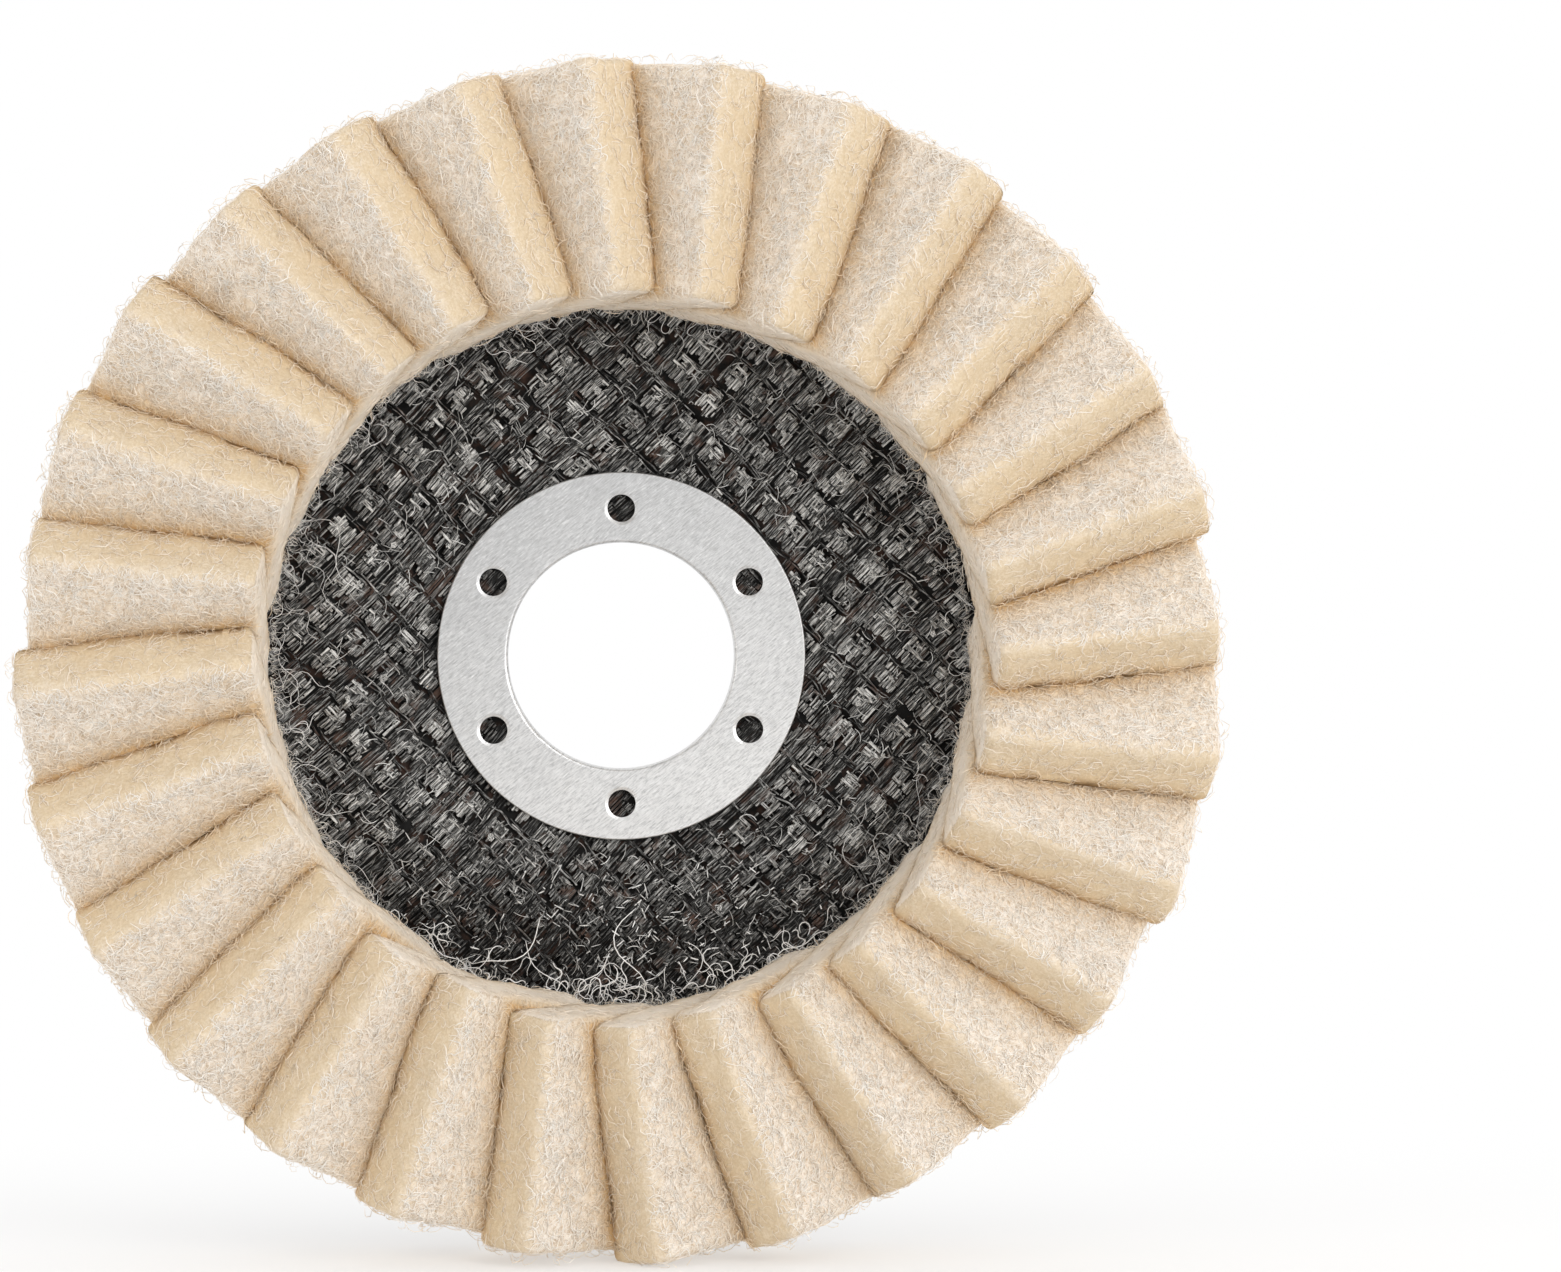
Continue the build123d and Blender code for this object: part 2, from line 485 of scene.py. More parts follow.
def adhesive_material():
    """Cured resin adhesive, amber brown."""
    nodes = Nodes("adhesive")
    place = nodes.object_mm()
    cloud = nodes.noise(place, 0.5)
    color = nodes.mix(nodes.ramp(cloud, 0.35, 0.65), (0.05, 0.032, 0.02), (0.16, 0.10, 0.06))
    nodes.bump(nodes.noise(place, 1.4), 0.5, 0.15)
    return nodes.surface(color, nodes.plus(0.32, nodes.times(cloud, 0.3)))


def steel_material():
    """Sheet steel with fine slanting rub marks, and painted shade that darkens it towards its upper left."""
    nodes = Nodes("steel")
    place = nodes.object_mm()
    slant = (0, math.radians(-38), 0)
    brushed = nodes.place(place, scale=(0.6, 1.0, 4.5), rotation=slant)
    brushed = nodes.noise(brushed, 1.9, detail=4.0, roughness=0.7)
    cross = nodes.place(place, scale=(2.0, 1.0, 2.6), rotation=slant)
    cross = nodes.noise(cross, 2.0, roughness=0.7)
    marks = nodes.plus(nodes.times(brushed, 0.75), nodes.times(cross, 0.25))
    cloud = nodes.noise(place, 0.25)
    axes = nodes.add("ShaderNodeSeparateXYZ", {0: place}).outputs
    # Painted shade: darker towards the upper left, lighter towards the lower right.
    reach = nodes.math("SUBTRACT", nodes.times(axes["X"], 0.35), axes["Z"])
    color = nodes.mix(nodes.ramp(reach, -18.0, 18.0), (0.61, 0.613, 0.615), (0.79, 0.785, 0.775))
    color = nodes.mix(nodes.ramp(marks, 0.52, 0.32), color, (0.40, 0.40, 0.40))
    color = nodes.mix(nodes.ramp(marks, 0.54, 0.74), color, (0.97, 0.97, 0.97))
    roughness = nodes.plus(0.34, nodes.times(cloud, 0.2))
    nodes.bump(marks, 0.35, 0.03)
    return nodes.surface(color, roughness, Metallic=0.85)


# ---- felt flaps


def flap_spacing(reach):
    """Distance across a flap, this far out, from its crease to the crease of the flap before it."""
    crease_angle = math.atan2(FLAP_CORNER_ACROSS, reach)
    crease_radius = math.hypot(FLAP_CORNER_ACROSS, reach)
    return FLAP_CORNER_ACROSS - crease_radius * math.sin(crease_angle - TAU / FLAP_COUNT)


def thickness_at(slope, reach):
    return FLAP_FILL * flap_spacing(reach) * math.sin(math.radians(slope))


def uncovered_from(slope, reach):
    """How far up its slope a flap comes out from under the next one, as a part of its width."""
    return 1 - flap_spacing(reach) * math.cos(math.radians(slope)) / FLAP_WIDTH


UNCOVERED = uncovered_from(INNER_SLOPE, INNER_END), uncovered_from(OUTER_SLOPE, OUTER_END)
INNER_THICKNESS = thickness_at(INNER_SLOPE, INNER_END)
OUTER_THICKNESS = thickness_at(OUTER_SLOPE, OUTER_END)
FLAP_LENGTH = OUTER_END - INNER_END
FLAP_THICKNESS = (INNER_THICKNESS + OUTER_THICKNESS) / 2


def stations(length, rounding, step):
    """Places along an edge: close together where it is rounded and even between."""
    ends = rounding * np.array([0.0, 0.25, 0.55, 1.0])
    count = max(2, round((length - 2 * rounding) / step))
    middle = np.linspace(rounding, length - rounding, count + 1)[1:-1]
    return np.concatenate([ends, middle, length - ends[::-1]])


def rounded_block(size, rounding, under, step):
    """Points and quads of a soft-edged block from the origin to size; under rounds its lower side."""
    axes = [stations(length, rounding, step) for length in size]
    counts = [len(axis) for axis in axes]
    number = np.full(counts, -1)
    cells = np.stack(np.meshgrid(*[np.arange(count) for count in counts], indexing="ij"), axis=-1)
    shell = np.any((cells == 0) | (cells == np.array(counts) - 1), axis=-1)
    number[shell] = np.arange(shell.sum())
    places = cells[shell]
    points = np.stack([axes[axis][places[:, axis]] for axis in range(3)], axis=1)
    quads = []
    for axis in range(3):
        for end in (0, -1):
            sheet = np.take(number, end, axis=axis)
            loop = [sheet[:-1, :-1], sheet[1:, :-1], sheet[1:, 1:], sheet[:-1, 1:]]
            face = np.stack(loop, axis=-1).reshape(-1, 4)
            quads.append(face if (end == -1) != (axis == 1) else face[:, ::-1])
    quads = np.concatenate(quads)
    core = np.clip(points, rounding, np.array(size) - rounding)
    points = core + unit(points - core) * rounding
    lower = points[:, 2] < rounding
    points[lower, 2] *= under / rounding
    return points, quads


def flap_shape(block, number, rng):
    """Bends block points (along, up the slope, through) to a flap, as (outward, across, height)."""
    along = block[:, 0] / FLAP_LENGTH
    up = block[:, 1] / FLAP_WIDTH
    through = block[:, 2] / FLAP_THICKNESS
    slope = np.radians(INNER_SLOPE + (OUTER_SLOPE - INNER_SLOPE) * along + rng.normal(0, SLOPE_SPREAD))
    thickness = INNER_THICKNESS + (OUTER_THICKNESS - INNER_THICKNESS) * along
    thickness *= PRESSED + 0.02 * np.exp(-along * FLAP_LENGTH / 2) + 0.03 * along
    width = FLAP_WIDTH + rng.normal(0, WIDTH_SPREAD) + 0.5 * rng.normal() * (along - 0.5)
    climb = (up - 1) * width
    across = FLAP_CORNER_ACROSS + climb * np.cos(slope) - through * thickness * np.sin(slope)
    height = FLAP_WIDTH * np.sin(slope) + climb * np.sin(slope) + through * thickness * np.cos(slope)
    turn = flap_angle(number)
    inner = INNER_END - REACH_IN * math.cos(turn) ** 4 + INNER_END_DRAFT * height
    inner += rng.normal(0, INNER_END_SPREAD)
    outer = OUTER_END + OUTER_END_SKEW * across + rng.normal(0, OUTER_END_SPREAD)
    reach = inner + (outer - inner) * along
    sag = 0.5 * np.sin(along * math.pi) * np.clip(up, 0, 1) ** 2 * rng.normal(0, SAG_SPREAD)
    height = np.maximum(height + sag, LOWEST_ROOT)
    return np.stack([reach, across + 0.3 * sag, height], axis=1)


def to_wheel(local, angle):
    """Flap coordinates (outward, across, height) to wheel coordinates."""
    reach, across, height = local.T
    x = reach * math.sin(angle) + across * math.cos(angle)
    z = reach * math.cos(angle) - across * math.sin(angle)
    return np.stack([x, PLATE_FRONT - height, z], axis=1)


def flap_angle(number):
    return math.radians(FLAP_AXIS_ANGLE) + number * TAU / FLAP_COUNT


def surface_fibres(centres, normals, lengths, lifts, curls, rng):
    """Paths of fibres that lie in a surface at these places, each arched up from it by its lift."""
    count, steps = len(centres), len(FIBRE_TAPER)
    spare = unit(rng.normal(size=(count, 3)))
    first = unit(np.cross(normals, spare))
    second = np.cross(normals, first)
    along = np.linspace(0, 1, steps)
    bend = curls[:, None] * (along - 0.5) + 0.7 * np.sin(TAU * (along + rng.uniform(0, 1, (count, 1))))
    step = lengths[:, None] / (steps - 1)
    a = np.cumsum(np.cos(bend) * step, axis=1)
    b = np.cumsum(np.sin(bend) * step, axis=1)
    a -= a.mean(axis=1, keepdims=True)
    b -= b.mean(axis=1, keepdims=True)
    lift = lifts[:, None] * arch(along, 0.8) - 0.02
    return (centres[:, None] + a[..., None] * first[:, None] + b[..., None] * second[:, None]
            + lift[..., None] * normals[:, None])


def scattered(points, quads, weights, count, rng):
    """Random places on quads, by area and weight: points, normals and the quads they are on."""
    centres, normals, areas = polygon_facts(points, quads)
    chance = areas * weights
    chosen = rng.choice(len(quads), count, p=chance / chance.sum())
    s, t = rng.uniform(size=(2, count, 1))
    a, b, c, d = points[quads[chosen].T]
    place = (a * (1 - s) + b * s) * (1 - t) + (d * (1 - s) + c * s) * t
    return place, normals[chosen], chosen


def crease_gap(along, up, through):
    """Distance in millimetres from where a flap meets its neighbours, a little more on its ends."""
    uncovered = UNCOVERED[0] + (UNCOVERED[1] - UNCOVERED[0]) * along
    above = np.hypot(np.maximum((up - uncovered) * FLAP_WIDTH, 0), (1 - through) * FLAP_THICKNESS)
    below = np.hypot(np.maximum((1 - uncovered - up) * FLAP_WIDTH, 0), through * FLAP_THICKNESS)
    end = np.abs(along - 0.5) * 2 > 1 - FELT_ROUNDING / FLAP_LENGTH
    return np.minimum(above, below) + END_GAP * end


def felt_flap(number, felt, wool):
    """One felt strip and its fuzz."""
    rng = np.random.default_rng(100 + number)
    size = (FLAP_LENGTH, FLAP_WIDTH, FLAP_THICKNESS)
    block, quads = rounded_block(size, FELT_ROUNDING, FELT_CREASE_ROUNDING, FELT_STEP)
    points = to_wheel(flap_shape(block, number, rng), flap_angle(number))
    quads = outward(points - points.mean(axis=0), quads)
    normals = point_normals(points, quads)
    free = np.clip((PLATE_FRONT - 0.7 - points[:, 1]) / 2, 0, 1)
    relief = 0.09 * waves(points, 7.5, 300 + number) + 0.04 * waves(points, 2.2, 400 + number)
    points += normals * (relief * free)[:, None]
    along, up, through = (block / np.array(size)).T
    cut = np.clip(0.5 + ((1 - through) * FLAP_THICKNESS - 0.8 * (1 - up) * FLAP_WIDTH) / CUT_FADE, 0, 1)
    end = np.abs(along - 0.5) * 2 > 1 - 0.2 / FLAP_LENGTH
    # Ends get cut -1, which the felt material paints paler as painted light.
    cut = np.where(end, -1.0, cut)
    gap = crease_gap(along, up, through)
    label = f"{number + 1:02d}"
    piece = add_piece("flap_felt_" + label, points, [quads], felt, "felt")
    add_values(piece, "felt_place", block + 40.0 * number)
    add_values(piece, "felt_cut", cut)
    # The felt material paints brown shade along the creases from felt_gap.
    add_values(piece, "felt_gap", gap)
    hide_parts("felt_flap_" + label)

    along, up, through = (block[quads].mean(axis=1) / np.array(size)).T
    gap = crease_gap(along, up, through)
    top = (through > 0.97) & (gap > 0.02)
    tip = (up > 0.985) & (gap > 0.3)
    outer = along > 0.985
    inner = along < 0.015
    back = ((through < 0.02) | (up < 0.015)) & (gap > 0.3) & (along > 0.65)
    near = np.exp(-gap / CREASE_FADE)
    weights = (4.5 + 4.0 * near) * top + (0.7 + 2.5 * near) * tip + 1.2 * outer + inner + 1.2 * back
    places, directions, chosen = scattered(points, quads, weights, LYING_FIBRES, rng)
    lengths = rng.uniform(0.9, 2.6, LYING_FIBRES)
    lifts = rng.gamma(2.0, 0.05, LYING_FIBRES)
    lying = surface_fibres(places, directions, lengths, lifts, rng.normal(0, 1.6, LYING_FIBRES), rng)
    weights = (2.5 + 8.0 * near) * top + (0.6 + 7.0 * near) * tip + 3.0 * outer + 0.4 * inner + back
    places, directions, loose_chosen = scattered(points, quads, weights, LOOSE_FIBRES, rng)
    lifts = rng.uniform(0.12, 0.5, LOOSE_FIBRES) * (1 + 1.3 * outer[loose_chosen])
    lengths = rng.uniform(1.2, 3.2, LOOSE_FIBRES)
    loose = surface_fibres(places, directions, lengths, lifts, rng.normal(0, 2.5, LOOSE_FIBRES), rng)
    paths = np.concatenate([lying, loose])
    paths[..., 1] = np.maximum(paths[..., 1], FELT_FRONT - FUZZ_REACH)
    radii = rng.uniform(0.026, 0.050, (len(paths), 1)) * FIBRE_TAPER
    fuzz = add_piece("flap_fuzz_" + label, *tubes(paths, radii, 3), wool, "felt")
    chosen = np.concatenate([chosen, loose_chosen])
    # Painted shade: fibres near a crease are tinted brown; fibres on cut faces take a light tan.
    crease_shade_and_tan = np.maximum(0.8 * near[chosen], 0.24 * (through[chosen] < 0.9))
    add_values(fuzz, "crease_shade_and_tan", np.repeat(crease_shade_and_tan, paths.shape[1] * 3))


def inner_bristles(material):
    """Short hairs of the felt's inner ends, which stick out over the black cloth."""
    rng = np.random.default_rng(17)
    count, steps = 2600, 5
    angle = rng.uniform(0, TAU, count)
    root = FLAP_CORNER_ACROSS - FLAP_WIDTH * math.cos(math.radians(INNER_SLOPE))
    radius = math.hypot(INNER_END, root) + rng.uniform(-0.15, 0.2, count)
    along = np.linspace(0, 1, steps)
    length = rng.gamma(2.5, 0.2, (count, 1)) + 0.2
    slant = rng.normal(0, 0.6, (count, 1)) + rng.normal(0, 0.8, (count, 1)) * along
    inward = radius[:, None] - length * along * np.cos(slant)
    around = angle[:, None] + length * along * np.sin(slant) / radius[:, None]
    rise = rng.uniform(0.1, 1.6, (count, 1)) + rng.normal(0, 0.25, (count, 1)) * along
    paths = on_wheel(inward, PLATE_FRONT - rise, around)
    radii = rng.uniform(0.020, 0.034, (count, 1)) * np.array([1, 1, 0.9, 0.8, 0.4])
    add_piece("inner_bristles", *tubes(paths, radii, 3), material, "felt")


def stray_fibres(material):
    """Long curly fibres that hang from the felt's inner ends over the black cloth."""
    rng = np.random.default_rng(7)
    count, steps = 215, 12
    angle = rng.uniform(0, TAU, count)
    angle[: count // 3] = rng.normal(math.pi, math.radians(22), count // 3)
    angle[count // 3 : count // 2] = rng.normal(math.radians(265), math.radians(30), count // 2 - count // 3)
    radius = rng.uniform(32.6, 34.2, count)
    heading = angle + math.pi + rng.normal(0, 1.0, count)
    lengths = rng.gamma(2.2, 1.3, count) + 0.8
    curl = rng.normal(0, 1.0, count) * 2.4
    along = np.linspace(0, 1, steps)
    wiggle = 0.9 * np.sin(TAU * (along * rng.uniform(0.6, 1.6, (count, 1)) + rng.uniform(size=(count, 1))))
    heading = heading[:, None] + curl[:, None] * along + wiggle
    step = lengths[:, None] / (steps - 1)
    x = (radius * np.sin(angle))[:, None] + np.cumsum(np.sin(heading) * step, axis=1)
    z = (radius * np.cos(angle))[:, None] + np.cumsum(np.cos(heading) * step, axis=1)
    level = rng.uniform(0.35, 1.3, (count, 1)) + 0.3 * np.sin(along * 3 + rng.uniform(0, TAU, (count, 1)))
    y = np.interp(np.hypot(x, z), *FRONT_PROFILE) - 0.45 - level
    paths = np.stack([x, y, z], axis=-1)
    bottom = 1 + 0.9 * (np.cos(angle) < -0.75)
    radii = (rng.uniform(0.022, 0.042, count) * bottom)[:, None] * arch(along, 0.4)
    add_piece("stray_fibres", *tubes(paths, radii, 4), material, "felt")


# ---- backing plate


class Bundle:
    """Collects tubes, with a tone and a grain direction for each."""

    def __init__(self):
        self.points, self.polygons, self.tones, self.grains = [], [], [], []
        self.total = 0

    def add(self, paths, radii, sides, flatness, across, tones):
        points, faces = tubes(paths, radii, sides, flatness, across)
        count, steps = paths.shape[:2]
        self.polygons += [group + self.total for group in faces]
        self.points.append(points)
        self.total += len(points)
        self.tones.append(np.repeat(tones, steps * sides))
        lengths = np.linalg.norm(np.diff(paths, axis=1), axis=2)
        along = np.concatenate([np.zeros((count, 1)), np.cumsum(lengths, axis=1)], axis=1)
        turns = side_turns(sides)
        grain = np.empty((count, steps, sides, 3))
        grain[..., 0] = along[:, :, None]
        grain[..., 1] = radii[:, :, None] * np.cos(turns)
        grain[..., 2] = (tones * 97)[:, None, None] + flatness * radii[:, :, None] * np.sin(turns)
        self.grains.append(grain.reshape(-1, 3))

    def piece(self, name, material, slot, smooth=False):
        groups = {}
        for polygons in self.polygons:
            groups.setdefault(polygons.shape[1], []).append(polygons)
        polygons = [np.concatenate(group) for group in groups.values()]
        piece = add_piece(name, np.concatenate(self.points), polygons, material, slot, smooth)
        add_values(piece, "tone", np.concatenate(self.tones))
        add_values(piece, "grain", np.concatenate(self.grains))


def diagonal(a, b):
    """Cloth coordinates (up and down to the right) to wheel x and z, or back."""
    return (a + b) * HALF_ROOT, (a - b) * HALF_ROOT


def bottom_share(z):
    """0 over most of the front cloth, rising to 1 at its bottom."""
    return np.clip((-z - BOTTOM_STARTS) / BOTTOM_FADE, 0, 1)


def slow_wave(a, b, size, phase):
    return np.sin((a + 0.6 * b) / size + phase) * np.cos((b - 0.4 * a) / size * 0.8 + 2 * phase)


def front_place(up, down, height):
    """Cloth coordinates (up to the right, down to the right, height) to wheel coordinates."""
    a = up + 0.35 * slow_wave(up, down, 7.0, 0.4)
    b = down + 0.8 * slow_wave(down, up, 8.0, 1.9)
    x, z = diagonal(a, b)
    radius = np.hypot(x, z)
    relief = np.clip((radius - FLANGE_RADIUS - 0.15) / 0.5, 0.1, 1.0)
    return np.stack([x, np.interp(radius, *FRONT_PROFILE) - height * relief, z], axis=-1)


def ply_across(up_yarn):
    """Direction across the yarns that run up to the right, or across the others."""
    return np.array([[1.0, 0.0, -1.0 if up_yarn else 1.0]]) * HALF_ROOT


def add_strips(bundle, up_yarn, start, finish, lanes, heights, width, thickness, rng, tones):
    """Flat strips from start to finish along a yarn, in lanes across it, with a height for each station."""
    steps = heights.shape[-1]
    along = start[:, None] + (finish - start)[:, None] * np.linspace(0, 1, steps)
    side = np.repeat(lanes[:, None], steps, axis=1)
    up, down = (along, side) if up_yarn else (side, along)
    paths = front_place(up, down, heights - thickness / 2)
    radii = np.repeat(width[:, None] * HALF_ROOT, steps, axis=1)
    radius = from_axis(paths)
    kept = (radius.min(axis=1) > STRIP_REACH[0]) & (radius.max(axis=1) < STRIP_REACH[1])
    paths, radii = paths[kept], radii[kept]
    across = np.repeat(ply_across(up_yarn), len(paths), axis=0)
    across[:, 1] = rng.normal(0, 0.2, len(paths))
    # Painted shade: strips under the steel ring's flange are darkened to a fifth; all strips darken towards
    # the cloth's bottom.
    ring_shade_and_bottom_dark = np.where(radius.mean(axis=1)[kept] < FLANGE_RADIUS, 0.2, 1.0)
    ring_shade_and_bottom_dark *= 1 - 0.8 * bottom_share(paths[..., 2].mean(axis=1))
    bundle.add(paths, radii, 4, thickness / width.mean(), across, tones[kept] * ring_shade_and_bottom_dark)


def knots(rng):
    """Raised knots of broken flat strips: a bundle, and the knots' centres and half lengths."""
    knot_count = math.ceil(KNOT_REACH[1] / KNOT_PITCH_UP) + 2
    index = np.arange(-knot_count, knot_count + 1)
    up, down = np.meshgrid(index * KNOT_PITCH_UP + KNOT_SHIFT[0], index * KNOT_PITCH_DOWN + KNOT_SHIFT[1])
    centres = np.stack([up.ravel(), down.ravel()], axis=1)
    radius = from_axis(front_place(centres[:, 0], centres[:, 1], 0))
    centres = centres[(radius > KNOT_REACH[0]) & (radius < KNOT_REACH[1])]
    count, strips = len(centres), 8
    centres = centres + rng.normal(0, 0.13, (count, 2))
    half = KNOT_SIZE[0] / 2 * rng.uniform(0.8, 1.12, (count, 1))
    half_across = KNOT_SIZE[1] / 2 * rng.uniform(0.82, 1.08, (count, 1))
    lane = (np.arange(strips) + 0.5) / strips * 2 - 1
    cuts = np.sort(rng.uniform(-0.8, 0.8, (count, 2)), axis=1)
    group = (lane > cuts[:, :1]).astype(int) + (lane > cuts[:, 1:])

    def by_group(values):
        return np.take_along_axis(values, group, axis=1)

    split = by_group(rng.uniform(-0.6, 0.6, (count, 3)))
    level = rng.normal(0, 0.08, (count, 1))
    lean = rng.normal(0, 0.09, (count, 1))
    crown = KNOT_HEIGHT + level + lean * lane - 0.2 * lane ** 4
    bundle = Bundle()
    for side in (-1, 1):
        step = by_group(rng.normal(0, 0.12, (count, 3)))
        outer_end = side * (half + rng.normal(0, 0.16, (count, strips)))
        inner_end = half * split + side * rng.uniform(0.0, 0.12, (count, strips))
        top = crown + step + rng.normal(0, 0.05, (count, strips))
        tilt = rng.normal(0, 0.1, (count, 1))
        heights = np.stack([top, top + 0.02, top - 0.02 + tilt, top - 0.22 + tilt], axis=-1)
        lanes = centres[:, 1:] + lane * half_across + rng.normal(0, 0.035, (count, strips))
        keep = (np.abs(outer_end - inner_end) > 0.2) & (rng.uniform(size=(count, strips)) < 0.93)
        keep = keep.ravel()
        start = (centres[:, :1] + inner_end).ravel()[keep]
        finish = (centres[:, :1] + outer_end).ravel()[keep]
        width = np.repeat(half_across * 2 / strips, strips, axis=1).ravel()[keep]
        width *= rng.uniform(0.5, 0.92, keep.sum())
        tones = by_group(rng.uniform(0.05, 1.0, (count, 3)) ** 1.3)
        tones = (0.65 * tones + rng.uniform(0, 0.55, (count, strips))).ravel()[keep]
        lanes, heights = lanes.ravel()[keep], heights.reshape(-1, 4)[keep]
        add_strips(bundle, True, start, finish, lanes, heights, width, 0.6, rng, tones)
    return bundle, centres, half[:, 0]


def flakes(bundle, centres, half, rng):
    """Cross strips broken off on one side of each knot, and flat chips of resin on it."""
    spread = np.linspace(-1, 1, 4)
    for number in range(5):
        shown = rng.uniform(size=len(centres)) < 0.68
        place, size = centres[shown], half[shown]
        count = len(place)
        side = 0.1 + 0.27 * number + rng.normal(0, 0.08, count)
        start = place[:, 1] - size * rng.uniform(0.3, 1.15, count)
        finish = start + size * rng.uniform(0.5, 1.6, count)
        top = KNOT_HEIGHT + 0.12 - 0.06 * number + rng.normal(0, 0.06, count)
        lift = rng.normal(0, 0.12, (count, 1)) * spread ** 2
        heights = top[:, None] + lift + rng.normal(0, 0.1, (count, 1)) * spread
        width = rng.uniform(0.17, 0.32, count)
        # Tones above 1 are painted glints.
        tones = rng.uniform(0.25, 1.2, count)
        add_strips(bundle, False, start, finish, place[:, 0] + side, heights, width, 0.16, rng, tones)
    shown = rng.uniform(size=len(centres)) < 0.3
    count = shown.sum()
    place = centres[shown] + rng.normal(0, 0.35, (count, 2)) - [0.2, -0.1]
    top = KNOT_HEIGHT + rng.uniform(0.1, 0.16, count)
    paths = np.stack([front_place(place[:, 0], place[:, 1], top - depth) for depth in (0.14, 0.0)], axis=1)
    paths[:, 1] += rng.normal(0, 0.03, (count, 3)) * [1, 0, 1]
    radii = np.repeat(rng.uniform(0.3, 0.5, (count, 1)), 2, axis=1)
    turn = rng.normal(math.radians(45), 0.4, count)
    across = np.stack([np.cos(turn), 0 * turn, np.sin(turn)], axis=1)
    # Tones above 1 are painted glints.
    bundle.add(paths, radii, 5, 0.8, across, rng.uniform(0.4, 1.2, count))


def windows(bundle, centres, rng):
    """Sunken strips between the knots."""
    place = centres + [0, KNOT_PITCH_DOWN / 2]
    count, lanes = len(place), 6
    for number in range(lanes):
        lane = (number - (lanes - 1) / 2) * 0.25 + 0.08
        reach = KNOT_PITCH_UP / 2 + rng.uniform(-0.25, 0.2, count)
        wander = rng.normal(0, 0.04, count)
        top = 0.08 + rng.normal(0, 0.09, count)
        bend = rng.normal(0, 0.06, (count, 4))
        width = rng.uniform(0.11, 0.24, count)
        tones = rng.uniform(0.0, 0.6, count)
        add_strips(bundle, True, place[:, 0] - reach, place[:, 0] + reach, place[:, 1] + lane + wander,
                   top[:, None] + bend, width, 0.14, rng, tones)


def ripple(places, depth, sizes, rng):
    """A random wavering line, from a wave of each size."""
    return sum(rng.normal(0, depth) * np.sin(places / size + rng.uniform(0, TAU)) for size in sizes)


def tapes(bundle, rng):
    """Thin continuous tapes in the grooves between the rows of knots."""
    inner, outer = KNOT_REACH
    knot_count = math.ceil(outer / KNOT_PITCH_UP) + 1
    places = np.arange(-outer - 2, outer + 2, 0.4)
    for index in range(-knot_count, knot_count + 1):
        middle = (index + 0.5) * KNOT_PITCH_UP + KNOT_SHIFT[0]
        shared = ripple(places, 0.09, (0.7, 1.3, 3.0), rng)
        for number in range(3):
            own = ripple(places, 0.06, (0.4, 0.9, 2.4), rng)
            up = middle + shared + own + (number - 1) * 0.2
            height = 0.06 + 1.6 * own + rng.normal(0, 0.05)
            path = front_place(up, places, height)
            radius = from_axis(path)
            whole = np.sin(places * rng.uniform(0.25, 0.6) + rng.uniform(0, TAU)) < 0.8
            for run in runs((radius > inner) & (radius < outer) & whole):
                radii = np.full((1, run.stop - run.start), rng.uniform(0.07, 0.13))
                bundle.add(path[run][None], radii, 4, 0.6, ply_across(False), rng.uniform(0.0, 0.55, 1))


def splinters(bundle, rng):
    """Short glossy chips broken from the yarns, thickest at the bottom of the cloth, where they are darker
    and a share of them carry a painted glint.
    """
    count = 3900
    angle = rng.uniform(0, TAU, count)
    angle[: count // 2] = rng.normal(math.pi, 0.55, count // 2)
    radius = np.sqrt(rng.uniform(20.0 ** 2, KNOT_REACH[1] ** 2, count))
    x, z = radius * np.sin(angle), radius * np.cos(angle)
    up, down = diagonal(x, z)
    low = bottom_share(z)
    heading = np.where(rng.uniform(size=count) < 0.62, 0.0, math.pi / 2) + rng.normal(0, 0.22 + 0.2 * low)
    along = np.linspace(-0.5, 0.5, 3)
    length = rng.uniform(0.3, 1.15, (count, 1))
    pitch = rng.normal(0, 0.16, (count, 1))
    height = rng.uniform(0.2, KNOT_HEIGHT + 0.12, (count, 1)) + (length * pitch) * along
    paths = front_place(up[:, None] + length * along * np.cos(heading)[:, None],
                        down[:, None] + length * along * np.sin(heading)[:, None], height)
    radii = rng.uniform(0.035, 0.10, (count, 1)) * np.array([0.6, 1.0, 0.7])
    across = np.cross(paths[:, 2] - paths[:, 0], [0.0, 1.0, 0.0])
    across = unit(across) + np.array([0.0, 1.0, 0.0]) * rng.normal(0, 0.35, (count, 1))
    # Painted glint: a share of the chips at the bottom get tones above 1, which the material turns near
    # white.
    painted_highlight = low * (rng.uniform(size=count) < 0.35)
    tones = rng.uniform(0.0, 1.0 - 0.85 * low) + painted_highlight * rng.uniform(0.5, 2.4, count)
    kept = from_axis(paths).min(axis=1) > FLANGE_RADIUS + 0.3
    bundle.add(paths[kept], radii[kept], 4, 0.3, unit(across[kept]), tones[kept])


